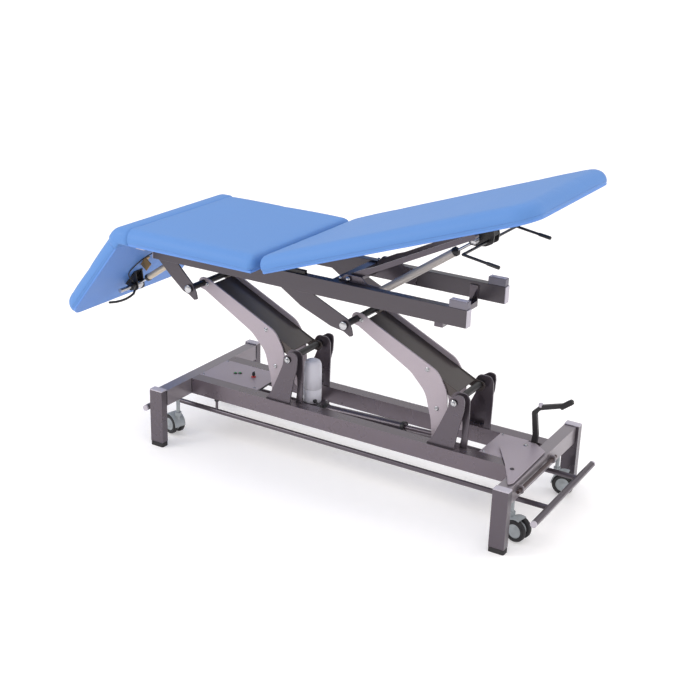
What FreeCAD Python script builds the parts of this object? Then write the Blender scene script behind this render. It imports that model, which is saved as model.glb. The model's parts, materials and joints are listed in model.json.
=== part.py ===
import FreeCAD, Part
import math
import os
import re
import Sketcher

V = FreeCAD.Vector
doc = FreeCAD.newDocument("exam_table")

# ---------------------------------------------------------------- driving sizes (mm)
SIZES = {
    # welded base
    "base_half_length": 707, "base_half_width": 310, "leg_len": 54, "leg_wid": 30,
    "tube_wall": 3, "pad_height": 16, "leg_top": 217, "cap_height": 4,
    "bar_wid": 44, "bar_high": 60, "bar_top": 216, "rail_wid": 48, "rail_outer": 135,
    # lift arms
    "pivot_low_z": 382, "pivot_left_x": -234, "pivot_right_x": 416,
    "arm_run": 405, "arm_rise": 192, "shaft_radius": 12, "bore_radius": 12.05,
    "plate_thick": 6, "sheet_thick": 4, "arm_half": 68, "tower_outer": 118, "tower_inner": 88,
    # upper frame
    "top_rail_bottom": 658, "top_rail_high": 60, "top_rail_outer": 160, "top_rail_wid": 30,
    "top_rail_left": -800, "top_rail_length": 1255, "hanger_inner": 152,
    # cushions and boards
    "cushion_half": 325, "cushion_thick": 48, "board_thick": 8, "cushion_edge": 24,
    "hinge_z": 738, "board_rise": 6, "long_hinge_x": -224,
    "head_hinge_x": -816, "long_length": 1010, "head_length": 406, "long_tilt": 19.5,
    "head_drop": 52, "crease_gap_long": 25.5, "crease_gap_head": 16, "hinge_rod": 5,
    "hinge_bore": 5.05, "frame_bar": 20, "frame_bar_y": 84,
    # springs, struts and actuator
    "strut_length": 480, "strut_thick": 8, "roller_radius": 9, "roller_gap": 5.5,
    "spring_radius": 14, "spring_rod": 5, "spring_bore": 5.6, "eye_radius": 10,
    "head_spring_radius": 12, "actuator_radius": 18, "actuator_rod": 10,
    "actuator_bore": 10.6, "motor_radius": 33, "motor_height": 160.5, "actuator_y": -28,
    # foot control, casters, pedal
    "foot_rod": 9, "foot_bar": 11, "foot_z": 107, "foot_rod_y": 125, "foot_bar_x": 776,
    "foot_bar_half": 250, "wheel_radius": 37.5, "wheel_wide": 17, "stem_radius": 7,
    "caster_x": 675, "caster_y": 190, "caster_trail": 28, "wheel_z": 41,
    "carrier_wide": 24, "carrier_high": 10, "carrier_half": 205, "torque_radius": 6,
    # the table is drawn about the middle of its base, then moved so the origin is under its overall middle
    "origin_shift": 160.91, "foot_wall": 1.5,
}
sheet = doc.addObject("Spreadsheet::Sheet", "Sizes")
for row, (alias, value) in enumerate(SIZES.items(), 1):
    sheet.set("A%d" % row, alias)
    sheet.set("B%d" % row, str(value))
    sheet.setAlias("B%d" % row, alias)
doc.recompute()


def size(alias):
    return float(getattr(sheet, alias))


def bind(obj, prop, rule):
    """Drive a property from the sheet; a rule is a number or aliases joined by + - *."""
    if isinstance(rule, str):
        obj.setExpression(prop, re.sub(r"[a-z_]{3,}", lambda hit: "Sizes." + hit.group(0), rule))
    else:
        setattr(obj, prop, rule)


LEFT = V(size("pivot_left_x"), 0, size("pivot_low_z"))
RIGHT = V(size("pivot_right_x"), 0, size("pivot_low_z"))
ARM = V(-size("arm_run"), 0, size("arm_rise"))
UP_LEFT = LEFT + ARM
UP_RIGHT = RIGHT + ARM
TILT = FreeCAD.Rotation(V(0, 1, 0), -size("long_tilt"))
DROP = FreeCAD.Rotation(V(0, 1, 0), -size("head_drop"))
LONG = FreeCAD.Placement(V(size("long_hinge_x"), 0, size("hinge_z")), TILT)
HEAD = FreeCAD.Placement(V(size("head_hinge_x"), 0, size("hinge_z")), DROP)
FLAT = FreeCAD.Placement()
parts = []
serial = [0]


def helper_name(kind):
    serial[0] += 1
    return "%s_%d" % (kind, serial[0])


def node(obj, label):
    obj.Label = label
    parts.append(obj)
    return obj


def box(x_rule, y_rule, z_rule, corner):
    obj = doc.addObject("Part::Box", helper_name("box"))
    bind(obj, "Length", x_rule)
    bind(obj, "Width", y_rule)
    bind(obj, "Height", z_rule)
    obj.Placement = FreeCAD.Placement(V(*corner), FreeCAD.Rotation())
    return obj


def rod(radius, length, start, axis=(0, 1, 0)):
    obj = doc.addObject("Part::Cylinder", helper_name("rod"))
    bind(obj, "Radius", radius)
    bind(obj, "Height", length)
    obj.Placement = FreeCAD.Placement(V(*start), FreeCAD.Rotation(V(0, 0, 1), V(*axis)))
    return obj


def rod_between(radius, a, b):
    a, b = V(*a), V(*b)
    return rod(radius, (b - a).Length, tuple(a), tuple(b - a))


def cut(base, *tools):
    for tool in tools:
        obj = doc.addObject("Part::Cut", helper_name("cut"))
        obj.Base = base
        obj.Tool = tool
        base = obj
    return base


def fuse(*items):
    obj = doc.addObject("Part::MultiFuse", helper_name("weld"))
    obj.Shapes = list(items)
    return obj


def group(*items):
    obj = doc.addObject("Part::Compound", helper_name("set"))
    obj.Links = list(items)
    return obj


def square_tube(x_rule, y_rule, z_rule, corner, along):
    """Rectangular tube, open at both ends along the named axis."""
    outer = box(x_rule, y_rule, z_rule, corner)
    wall = size("tube_wall")
    rules = [x_rule, y_rule, z_rule]
    start = list(corner)
    for axis in range(3):
        if "xyz"[axis] != along:
            rules[axis] = "%s - 2 * tube_wall" % rules[axis]
            start[axis] += wall
    return cut(outer, box(*rules, tuple(start)))


def outline_edges(points):
    """Closed outline from (x, z) or (x, z, corner radius) points; a corner takes at most its share of a side."""
    spots = [V(p[0], p[1], 0) for p in points]
    radii = [p[2] if len(p) > 2 else 0 for p in points]
    count = len(points)
    corners = []
    for i, here in enumerate(spots):
        if radii[i] == 0:
            corners.append((here, None, here))
            continue
        arms, room = [], []
        for other in ((i - 1) % count, (i + 1) % count):
            arm = spots[other] - here
            room.append(arm.Length * (0.49 if radii[other] else 0.98))
            arms.append(arm.normalize())
        half = arms[0].getAngle(arms[1]) / 2
        reach = min(radii[i] / math.tan(half), *room)
        radius = reach * math.tan(half)
        middle = (arms[0] + arms[1]).normalize()
        centre = here + middle * (radius / math.sin(half))
        corners.append((here + arms[0] * reach, centre - middle * radius, here + arms[1] * reach))
    edges = []
    for i in range(count):
        first, bow, last = corners[i]
        if bow is not None:
            edges.append(Part.Arc(first, bow, last))
        nxt = corners[(i + 1) % count][0]
        if last.distanceToPoint(nxt) > 1e-4:
            edges.append(Part.LineSegment(last, nxt))
    return edges


def origin_plane(body, role):
    for feature in body.Origin.OriginFeatures:
        if feature.Role == role:
            return feature
    raise ValueError(role)


def padded(points, depth, holes, role):
    body = doc.addObject("PartDesign::Body", helper_name("plate"))
    sketch = body.newObject("Sketcher::SketchObject", helper_name("outline"))
    sketch.AttachmentSupport = [(origin_plane(body, role), "")]
    sketch.MapMode = "FlatFace"
    for edge in outline_edges(points):
        sketch.addGeometry(edge, False)
    for x, z, radius in holes:
        bore = size(radius) if isinstance(radius, str) else radius
        index = sketch.addGeometry(Part.Circle(V(x, z, 0), V(0, 0, 1), bore), False)
        rule = sketch.addConstraint(Sketcher.Constraint("Radius", index, bore))
        if isinstance(radius, str):
            sketch.setExpression("Constraints[%d]" % rule, "Sizes." + radius)
    pad = body.newObject("PartDesign::Pad", helper_name("pad"))
    pad.Profile = sketch
    bind(pad, "Length", depth)
    return body


def plate(points, y_low, depth, holes=(), origin=V(0, 0, 0), place=FLAT):
    """Flat plate in an XZ plane filling y_low to y_low + depth; points are about origin."""
    body = padded(points, depth, holes, "XZ_Plane")
    thick = size(depth) if isinstance(depth, str) else depth
    shift = V(origin.x, y_low + thick, origin.z)
    body.Placement = place.multiply(FreeCAD.Placement(shift, FreeCAD.Rotation()))
    return body


def plate_pair(points, y_low, depth, holes=(), origin=V(0, 0, 0), place=FLAT):
    thick = size(depth) if isinstance(depth, str) else depth
    return [plate(points, y_low, depth, holes, origin, place),
            plate(points, -y_low - thick, depth, holes, origin, place)]


def placed(obj, place):
    obj.Placement = place.multiply(obj.Placement)
    return obj


# ---------------------------------------------------------------- welded base
half_l, half_w = size("base_half_length"), size("base_half_width")
leg_l, leg_w = size("leg_len"), size("leg_wid")
pad_h, leg_top, bar_top = size("pad_height"), size("leg_top"), size("bar_top")
bar_low = bar_top - size("bar_high")
bar_in = half_l - leg_l
legs, caps, pads = [], [], []
PAD_LIP = 1
for sx in (-1, 1):
    for sy in (-1, 1):
        x0 = -half_l if sx < 0 else half_l - leg_l
        y0 = -half_w if sy < 0 else half_w - leg_w
        legs.append(square_tube("leg_len", "leg_wid", "leg_top - pad_height", (x0, y0, pad_h), "z"))
        caps.append(box("leg_len", "leg_wid", "cap_height", (x0, y0, leg_top)))
        foot = [(x0 - PAD_LIP, y0 - PAD_LIP, 7), (x0 + leg_l + PAD_LIP, y0 - PAD_LIP, 7),
                (x0 + leg_l + PAD_LIP, y0 + leg_w + PAD_LIP, 7), (x0 - PAD_LIP, y0 + leg_w + PAD_LIP, 7)]
        pads.append(padded(foot, "pad_height", (), "XY_Plane"))
node(group(*legs), "legs")
node(group(*caps), "leg_caps")
node(group(*pads), "foot_pads")

STEM_CLEAR = 1.5
caster_x, caster_y = size("caster_x"), size("caster_y")
inner_w = half_w - leg_w
bars = []
for sx in (-1, 1):
    x0 = -bar_in - size("bar_wid") if sx < 0 else bar_in
    bar = square_tube("bar_wid", "2 * base_half_width - 2 * leg_wid", "bar_high",
                      (x0, -half_w + leg_w, bar_low), "y")
    for sy in (-1, 1):
        bar = cut(bar, rod(size("stem_radius") + STEM_CLEAR, 2 * size("tube_wall"),
                           (sx * caster_x, sy * caster_y, bar_low - 1), (0, 0, 1)))
    bars.append(bar)
SHAFT_LUG = [(bar_in + size("bar_wid"), 176), (bar_in + size("bar_wid") + 20, 176, 8),
             (bar_in + size("bar_wid") + 20, 204, 8), (bar_in + size("bar_wid"), 204)]
TORQUE = V(bar_in + size("bar_wid") + 9.5, 0, 190)
SHAFT_LUG_BORE = size("torque_radius") + 0.05
shaft_lugs = [plate(SHAFT_LUG, y, 5, [(TORQUE.x, TORQUE.z, SHAFT_LUG_BORE)]) for y in (-212, 48)]
node(group(bars[0], fuse(bars[1], *shaft_lugs)), "crossbars")
rail_out, rail_w = size("rail_outer"), size("rail_wid")
rail_in = rail_out - rail_w
POST_X, POST_R, POST_TOP = (-545, 640), 5, 176
rails = []
for y0, post_y in ((-rail_out, -size("foot_rod_y")), (rail_in, size("foot_rod_y"))):
    rail = square_tube("2 * base_half_length - 2 * leg_len", "rail_wid", "bar_high", (-bar_in, y0, bar_low), "x")
    slots = [rod(POST_R + 0.5, 2 * size("tube_wall"), (x, post_y, bar_low - 1), (0, 0, 1)) for x in POST_X]
    rails.append(cut(rail, *slots))
node(group(*rails), "base_rails")

# arm towers: plates leaning up from the rails to each lower pivot
lift = size("pivot_low_z") - bar_top
OUTER_TOWER = [(-92, -lift), (9, -lift), (17, -115, 80), (25, -74, 60), (35, -34, 40), (37, 6, 20), (34, 28, 14),
               (10, 29, 18), (-18, 10, 16), (-22, -24, 30), (-44, -78, 60), (-72, -141, 60)]
INNER_TOWER = [(16, -lift), (42, -lift), (44, -60, 30), (42, 8, 20), (30, 27, 16), (-12, 27, 18), (-26, 6, 20),
               (-20, -28, 20), (12, -52, 30), (21, -76, 20), (22, -120, 40)]
towers = []
for pivot in (LEFT, RIGHT):
    for outline, y0 in ((OUTER_TOWER, "tower_outer"), (INNER_TOWER, "tower_inner")):
        towers += plate_pair(outline, size(y0), "plate_thick", [(0, 0, "bore_radius")], pivot)
node(group(*towers), "tower_plates")
SHAFT_END = 5
shaft_half = size("tower_outer") + size("plate_thick") + SHAFT_END
node(group(*[rod("shaft_radius", 2 * shaft_half, (p.x, -shaft_half, p.z)) for p in (LEFT, RIGHT)]),
     "lower_pivot_shafts")

# control panel between the rails, with lamps and key switch
PANEL_END, PANEL_Z = -390, 212
panel = box(bar_in + PANEL_END, 2 * rail_in, "sheet_thick", (-bar_in, -rail_in, PANEL_Z))
tray = box(150, 120, 34, (-600, -60, PANEL_Z - 34))
node(group(panel, tray), "control_panel")
top = PANEL_Z + size("sheet_thick")
node(group(rod(4, 3, (-548, -4, top), (0, 0, 1)), rod(4, 3, (-534, 6, top), (0, 0, 1))), "indicator_lamps")
KEY = V(-472, 6, top)
node(cut(rod(9, 4, tuple(KEY), (0, 0, 1)), rod(3.6, 6, tuple(KEY + V(0, 0, -1)), (0, 0, 1))), "key_collar")
stem = rod(3.5, 8, tuple(KEY), (0, 0, 1))
bow = box(4, 13, 13, (KEY.x - 2, KEY.y - 6.5, KEY.z + 8))
node(fuse(stem, bow), "key_switch")

# right-hand covers
COVER_LEFT, COVER_RIGHT = 500, 604
node(box(COVER_RIGHT - COVER_LEFT, 2 * rail_in, "sheet_thick", (COVER_LEFT, -rail_in, PANEL_Z)),
     "mechanism_cover")
HOOD = [(549, -30, 6), (606, 62, 6), (640, 62, 4), (688, 24, 4), (692, -240, 4), (682, -262, 3), (657, -211, 10),
        (616, -136, 30)]
hood = padded(HOOD, 3, [(634, 40, 3)], "XY_Plane")
hood.Placement = FreeCAD.Placement(V(0, 0, bar_top + 4), FreeCAD.Rotation())
feet = [box(20, 14, 4, (x, y, bar_top)) for x, y in ((660, -200), (660, -20))]
node(fuse(hood, *feet), "mechanism_hood")

# ---------------------------------------------------------------- lift arms
shaft_r = size("shaft_radius")
along = V(ARM.x, 0, ARM.z).normalize()
upward = V(along.z, 0, -along.x)
arm_length = ARM.Length


def on_arm(s, p):
    """Point s along the arm from its lower pivot and p above the pivot line, as (x, z)."""
    spot = along * s + upward * p
    return spot.x, spot.z


def arm_points(rows):
    return [on_arm(row[0], row[1]) + tuple(row[2:]) for row in rows]


FLANGE = arm_points([(-22, -22, 20), (-22, 22, 15), (20, 9, 30), (arm_length - 30, 9, 30),
                     (arm_length + 20, 19, 18), (arm_length + 20, -20, 18),
                     (arm_length - 60, -22, 60), (70, -26, 60)])
WEB_LOW, WEB_HIGH = 20, arm_length - 24
WEB = arm_points([(WEB_LOW, 2), (WEB_HIGH, 2), (WEB_HIGH, 6), (WEB_LOW, 6)])
WEB_BITE = 2
LEVER = [(-425, 213, 17), (-388, 212, 8), (-92, 72, 70), (-52, 10, 90), (-46, -90, 120), (-44, -188, 22),
         (-96, -188, 22), (-106, -104, 120), (-132, -12, 90), (-190, 48, 90), (-398, 166, 20), (-425, 172, 17)]
CROSSBAR = (-86, -104)
arm_half = size("arm_half")
for side, pivot in (("left", LEFT), ("right", RIGHT)):
    bores = [(0, 0, "bore_radius"), (ARM.x, ARM.z, "bore_radius")]
    flanges = plate_pair(FLANGE, arm_half - size("sheet_thick"), "sheet_thick", bores, pivot)
    web = plate(WEB, -arm_half + WEB_BITE, 2 * (arm_half - WEB_BITE), (), pivot)
    node(fuse(web, *flanges), side + "_arm_channel")
    levers = plate_pair(LEVER, arm_half, "plate_thick", [(ARM.x, ARM.z, "bore_radius")], pivot)
    node(group(*levers), side + "_arm_levers")
PIN = V(-68, 0, -177)
LUG_GAP = 17
act_y = size("actuator_y")
bridge = rod(9, 2 * arm_half, (RIGHT.x + CROSSBAR[0], -arm_half, RIGHT.z + CROSSBAR[1]))
LUG = [(CROSSBAR[0] - 15, CROSSBAR[1] + 13, 10), (CROSSBAR[0] + 15, CROSSBAR[1] + 13, 10),
       (PIN.x + 13, PIN.z - 13, 12), (PIN.x - 13, PIN.z - 13, 12)]
lugs = [plate(LUG, act_y + y, 5, (), RIGHT) for y in (-LUG_GAP - 5, LUG_GAP)]
node(fuse(bridge, *lugs), "actuator_lugs")

# ---------------------------------------------------------------- linear actuator (tilts about its rear pin)
REAR = V(-228, act_y, 181)
FRONT = V(RIGHT.x + PIN.x, act_y, RIGHT.z + PIN.z)
push = (FRONT - REAR)
stroke_dir = V(push.x, 0, push.z).normalize()


def on_push(s):
    return tuple(REAR + stroke_dir * s)


GEAR_LEFT, GEAR_RIGHT = -210, -138
REAR_PIN = 6
GEAR_LOW, GEAR_HIGH = 163, 203.5
gear = box(GEAR_RIGHT - GEAR_LEFT, 68, GEAR_HIGH - GEAR_LOW, (GEAR_LEFT, act_y - 34, GEAR_LOW))
eye = rod(12, 26, (REAR.x, act_y - 13, REAR.z))
neck = box(22, 26, 20, (REAR.x, act_y - 13, REAR.z - 10))
rear_pin = rod(REAR_PIN, 44, (REAR.x, act_y - 22, REAR.z))
tube = rod("actuator_radius", 360, on_push(60), tuple(stroke_dir))
bore = rod("actuator_bore", 260, on_push(200), tuple(stroke_dir))
node(cut(fuse(gear, eye, neck, rear_pin, tube), bore), "actuator_housing")
MOTOR_X = -190
motor = rod("motor_radius", "motor_height", (MOTOR_X, act_y, GEAR_HIGH), (0, 0, 1))
node(motor, "actuator_motor")
push_rod = rod("actuator_rod", 260, on_push(300), tuple(stroke_dir))
rod_eye = rod(14, 28, (FRONT.x, act_y - 14, FRONT.z))
node(fuse(push_rod, rod_eye), "actuator_rod")
anchor_floor = box(46, 2 * rail_in, 6, (-262, -rail_in, bar_low))
ANCHOR = [(-256, bar_low + 3), (-256, 188, 4), (-240, 195, 8), (-216, 195, 8), (-216, bar_low + 3)]
PIN_CLEAR = 0.05
rear_bore = [(REAR.x, REAR.z, REAR_PIN + PIN_CLEAR)]
anchor_lugs = [plate(ANCHOR, act_y + y, 5, rear_bore) for y in (-20, 15)]
node(fuse(anchor_floor, *anchor_lugs), "actuator_anchor")

# ---------------------------------------------------------------- all-round foot control
foot_z, foot_y, foot_x = size("foot_z"), size("foot_rod_y"), size("foot_bar_x")
frame = [rod("foot_rod", "2 * foot_bar_x", (-foot_x, y, foot_z), (1, 0, 0)) for y in (-foot_y, foot_y)]
frame += [rod("foot_bar", "2 * foot_bar_half", (x, -size("foot_bar_half"), foot_z)) for x in (-foot_x, foot_x)]
hollow = [rod("foot_rod - foot_wall", "2 * foot_bar_x", (-foot_x, y, foot_z), (1, 0, 0)) for y in (-foot_y, foot_y)]
hollow += [rod("foot_bar - foot_wall", "2 * foot_bar_half", (x, -size("foot_bar_half"), foot_z))
           for x in (-foot_x, foot_x)]
posts = [rod(POST_R, POST_TOP - foot_z, (x, y, foot_z), (0, 0, 1)) for x in POST_X for y in (-foot_y, foot_y)]
node(cut(fuse(*frame, *posts), fuse(*hollow)), "foot_control_frame")
CAP_LEN = 7
ends = []
for x in (-foot_x, foot_x):
    for y in (-size("foot_bar_half") - CAP_LEN, size("foot_bar_half")):
        ends.append(rod("foot_bar", CAP_LEN, (x, y, foot_z)))
node(group(*ends), "foot_bar_caps")
BUSH_R, BUSH_HIGH = 9, 9
bushes = []
for x in POST_X:
    for y in (-foot_y, foot_y):
        sleeve = rod(BUSH_R, BUSH_HIGH, (x, y, bar_low - BUSH_HIGH), (0, 0, 1))
        bushes.append(cut(sleeve, rod(POST_R + 0.1, BUSH_HIGH + 2, (x, y, bar_low - BUSH_HIGH - 1), (0, 0, 1))))
node(group(*bushes), "foot_rod_guides")

# ---------------------------------------------------------------- casters on liftable carriers
CARRIER_Z = 196
carriers = [box("carrier_wide", "2 * carrier_half", "carrier_high",
                (sx * caster_x - size("carrier_wide") / 2, -size("carrier_half"), CARRIER_Z)) for sx in (-1, 1)]
node(group(*carriers), "caster_carriers")
TRAIL_DEG = {"near_left": 165, "near_right": 350, "far_right": 10, "far_left": 200}
CORNER = {"near_left": (-1, -1), "near_right": (1, -1), "far_right": (1, 1), "far_left": (-1, 1)}
wheel_z, wheel_r, wheel_w = size("wheel_z"), size("wheel_radius"), size("wheel_wide")
CORE_HALF, AXLE_R = 7.5, 4
for name, (sx, sy) in CORNER.items():
    spin = FreeCAD.Placement(V(sx * caster_x, sy * caster_y, 0), FreeCAD.Rotation(V(0, 0, 1), TRAIL_DEG[name]))
    trail = size("caster_trail")
    stem = rod("stem_radius", CARRIER_Z - 60 - 0.05, (0, 0, 60), (0, 0, 1))
    core = rod(27, 2 * CORE_HALF, (trail, -CORE_HALF, wheel_z), (0, 1, 0))
    neck = box(trail, 2 * CORE_HALF, 34, (-2, -CORE_HALF, 48))
    collar = rod(12, 14, (0, 0, 80), (0, 0, 1))
    axle = rod(AXLE_R, 2 * CORE_HALF + 2 * wheel_w, (trail, -CORE_HALF - wheel_w, wheel_z))
    node(placed(fuse(stem, core, neck, collar, axle), spin), "caster_" + name + "_fork")
    wheels = []
    for y in (-CORE_HALF - wheel_w - 0.5, CORE_HALF + 0.5):
        disc = rod("wheel_radius", "wheel_wide", (trail, y, wheel_z))
        wheels.append(cut(disc, rod(AXLE_R + 0.1, wheel_w + 2, (trail, y - 1, wheel_z))))
    node(placed(group(*wheels), spin), "caster_" + name + "_wheels")

# caster pedal: bent foot lever on a cross pin, and the torque shaft it turns
PEDAL = V(624, 74, 190)
LEVER_Y = PEDAL.y - 4
PEDAL_SIDE = [(-11, -11, 10), (11, -11, 10), (17, 60, 20), (6, 138, 6), (18, 154, 14), (100, 182, 18),
              (128, 206, 5), (120, 216, 5), (96, 196, 14), (14, 170, 16), (-12, 142, 12), (-2, 60, 20)]
lever = plate(PEDAL_SIDE, LEVER_Y - 4, 12, (), PEDAL)
pin = rod(6, 24.5, (PEDAL.x, LEVER_Y - 8, PEDAL.z))
knob = rod(7, 14, (PEDAL.x + 16, PEDAL.y - 2, PEDAL.z + 158), (0, 0, 1))
node(fuse(lever, pin, knob), "caster_pedal")
node(rod("torque_radius", 310, (TORQUE.x, -234, TORQUE.z)), "caster_torque_shaft")

# ---------------------------------------------------------------- upper frame
top_low, top_high = size("top_rail_bottom"), size("top_rail_high")
top_out, top_w = size("top_rail_outer"), size("top_rail_wid")
top_in = top_out - top_w
top_z = top_low + top_high
rail_left = size("top_rail_left")
rail_right = rail_left + size("top_rail_length")
for name, y0 in (("near", -top_out), ("far", top_in)):
    node(square_tube("top_rail_length", "top_rail_wid", "top_rail_high", (rail_left, y0, top_low), "x"),
         "upper_rail_" + name)
drop = top_low - UP_LEFT.z
HANG_LEFT = [(-136, drop), (-51, drop), (14, 20, 14), (30, -8, 8), (36, -34, 4), (22, -38, 3), (-2, -22, 14),
             (-26, -14, 14), (-84, 34, 30)]
HANG_RIGHT = [(-255, drop), (-126, drop), (-54, 52, 40), (10, 24, 12), (28, -6, 8), (34, -32, 4), (22, -36, 3),
              (-2, -22, 14), (-52, -14, 60), (-173, 33, 60)]
hangs = plate_pair(HANG_LEFT, size("hanger_inner"), "plate_thick", [(0, 0, "bore_radius")], UP_LEFT)
hangs += plate_pair(HANG_RIGHT, size("hanger_inner"), "plate_thick", [(0, 0, "bore_radius")], UP_RIGHT)
node(group(*hangs), "upper_hangers")
upper_half = size("hanger_inner") + size("plate_thick") + SHAFT_END
node(group(*[rod("shaft_radius", 2 * upper_half, (p.x, -upper_half, p.z)) for p in (UP_LEFT, UP_RIGHT)]),
     "upper_pivot_shafts")

LONG_ANCHOR = V(20, 0, 634)
HEAD_ANCHOR = V(-768, -50, 639)
ANCHOR_GAP, ANCHOR_THICK = 17, 5
TIES = ((-772, 664), (-64, 674))
ties = [square_tube(30, 2 * top_in, 38, (x, -top_in, z), "y") for x, z in TIES]
DROP_TIE = V(330, 0, 632)
low_tie = box(30, 2 * top_in - 12, 20, (DROP_TIE.x, 6 - top_in, DROP_TIE.z))
tie_ends = [box(30, 6, 74, (DROP_TIE.x, y, DROP_TIE.z)) for y in (-top_in, top_in - 6)]
MID_LUG = [(-60, 674), (-34, 674), (30, 648, 12), (34, 622, 12), (12, 618, 12), (-60, 660)]
HEAD_LUG = [(-772, 664), (-744, 664), (-752, 630, 12), (-768, 622, 12), (-784, 634, 12)]
mid_lugs = [plate(MID_LUG, y, ANCHOR_THICK) for y in (-ANCHOR_GAP - ANCHOR_THICK, ANCHOR_GAP)]
head_lugs = [plate(HEAD_LUG, HEAD_ANCHOR.y + y, ANCHOR_THICK) for y in (-ANCHOR_GAP - ANCHOR_THICK, ANCHOR_GAP)]
node(group(fuse(ties[0], *head_lugs), fuse(ties[1], *mid_lugs), low_tie, *tie_ends), "upper_cross_members")
STOP_TOP = 743
stops = [box(64, 26, STOP_TOP - top_z, (391, y, top_z)) for y in (-top_out + 2, top_in + 2)]
node(group(*stops), "rail_stop_blocks")

hinge_z = size("hinge_z")
long_x, head_x = size("long_hinge_x"), size("head_hinge_x")
LONG_BLOCK = [(long_x - 12, top_z), (long_x + 72, top_z), (long_x + 72, top_z + 13), (long_x + 16, top_z + 13, 6),
              (long_x + 9, hinge_z + 8, 5), (long_x - 9, hinge_z + 8, 5), (long_x - 12, top_z + 13, 6)]
HEAD_BLOCK = [(head_x - 10, top_z), (head_x + 60, top_z), (head_x + 60, top_z + 12), (head_x + 16, top_z + 12, 6),
              (head_x + 9, hinge_z + 8, 5), (head_x - 9, hinge_z + 8, 5)]
blocks = plate_pair(LONG_BLOCK, 137, 16, [(long_x, hinge_z, "hinge_bore")])
blocks += plate_pair(HEAD_BLOCK, 137, 16, [(head_x, hinge_z, "hinge_bore")])
node(group(*blocks), "section_hinge_blocks")
STRUT_PIVOT = V(7, 0, 729)
GUSSET = [(-33, 664), (126, 664), (126, 719), (72, 722, 20), (56, 742, 8), (-8, 742, 12), (-33, 712, 14)]
STRUT_PIN = 6
strut_bore = [(STRUT_PIVOT.x, STRUT_PIVOT.z, STRUT_PIN + PIN_CLEAR)]
gussets = plate_pair(GUSSET, top_in - 6, "plate_thick", strut_bore)
node(group(*gussets), "strut_brackets")

# ---------------------------------------------------------------- cushions and boards
board_low = size("board_rise")
foam_low = board_low + size("board_thick")
half_c = size("cushion_half")
BOARD_INSET = 8


def cushion(x0, x1, left_r, right_r, z0, place):
    outline = [(x0, -half_c, left_r), (x1, -half_c, right_r), (x1, half_c, right_r), (x0, half_c, left_r)]
    body = padded(outline, "cushion_thick", (), "XY_Plane")
    doc.recompute()
    pad = body.Tip
    top_edges, low_edges = [], []
    for i, edge in enumerate(pad.Shape.Edges, 1):
        heights = [vertex.Z for vertex in edge.Vertexes]
        if min(heights) > size("cushion_thick") - 0.01:
            top_edges.append("Edge%d" % i)
        elif max(heights) < 0.01:
            low_edges.append("Edge%d" % i)
    rounded = body.newObject("PartDesign::Fillet", helper_name("edge"))
    rounded.Base = (pad, top_edges[:1])
    rounded.UseAllEdges = False
    bind(rounded, "Radius", "cushion_edge")
    body.Tip = rounded
    body.Placement = place.multiply(FreeCAD.Placement(V(0, 0, z0), FreeCAD.Rotation()))
    return body


def board(x0, x1, z0, place):
    sheet_board = box(x1 - x0, "2 * cushion_half - 16", "board_thick", (x0, -half_c + BOARD_INSET, z0))
    return placed(sheet_board, place)


centre_left = head_x + size("crease_gap_head")
centre_right = long_x - size("crease_gap_long")
node(cushion(centre_left, centre_right, 26, 26, hinge_z + foam_low, FLAT), "centre_cushion")
BATTENS = [box(480, 20, board_low + hinge_z - top_z, (-750, y, top_z)) for y in (-155, 135)]
centre_board = board(centre_left + BOARD_INSET, centre_right - BOARD_INSET, hinge_z + board_low, FLAT)
node(group(centre_board, *BATTENS), "centre_board")

LONG_START, HEAD_START = 4, 6
long_end = LONG_START + size("long_length")
node(cushion(LONG_START, long_end, 26, 80, foam_low, LONG), "long_cushion")
node(board(14, long_end - BOARD_INSET - 22, board_low, LONG), "long_board")
bar = size("frame_bar")
bar_y = size("frame_bar_y")
bar_z = board_low - bar
ROD_HALF = 158


def section_frame(length, sign, extra, place):
    """Hinge rod and two side bars under a section board, welded to the extra pieces."""
    start = -8 if sign > 0 else 8 - length
    bars = [box(length, bar, bar, (start, y, bar_z)) for y in (-bar_y - bar, bar_y)]
    hinge = rod("hinge_rod", 2 * ROD_HALF, (0, -ROD_HALF, 0))
    return placed(fuse(hinge, *bars, *extra), place)


TIE_U = (300, 640)
ties = [box(bar, 2 * bar_y, bar, (u, -bar_y, bar_z)) for u in TIE_U]
node(section_frame(860, 1, ties, LONG), "long_frame")

# gas spring of the long section: rod end on the section bracket, cylinder reaching the frame anchor
SPRING_TOP = V(402, 0, 901)
local_top = LONG.inverse().multVec(SPRING_TOP)
RELEASE = V(690.5, 0, -63)
BRACKET = [(632, bar_z), (722, bar_z), (716, -52, 8), (706, -74, 12), (680, -78, 12), (634, -68, 10)]
LEVER_R, SPRING_PIN = 4.5, 5
bracket_bores = [(RELEASE.x, RELEASE.z, LEVER_R + PIN_CLEAR), (local_top.x, local_top.z, SPRING_PIN + PIN_CLEAR)]
bracket = [plate(BRACKET, y, 5, bracket_bores) for y in (-22, 17)]
bridge = box(56, 44, 5, (TIE_U[1] + bar, -22, bar_z))
node(placed(fuse(bridge, *bracket), LONG), "long_spring_bracket")
axis = SPRING_TOP - LONG_ANCHOR
spring_len = axis.Length
spring_dir = V(axis.x, 0, axis.z).normalize()


def on_spring(s):
    return tuple(LONG_ANCHOR + spring_dir * s)


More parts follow.
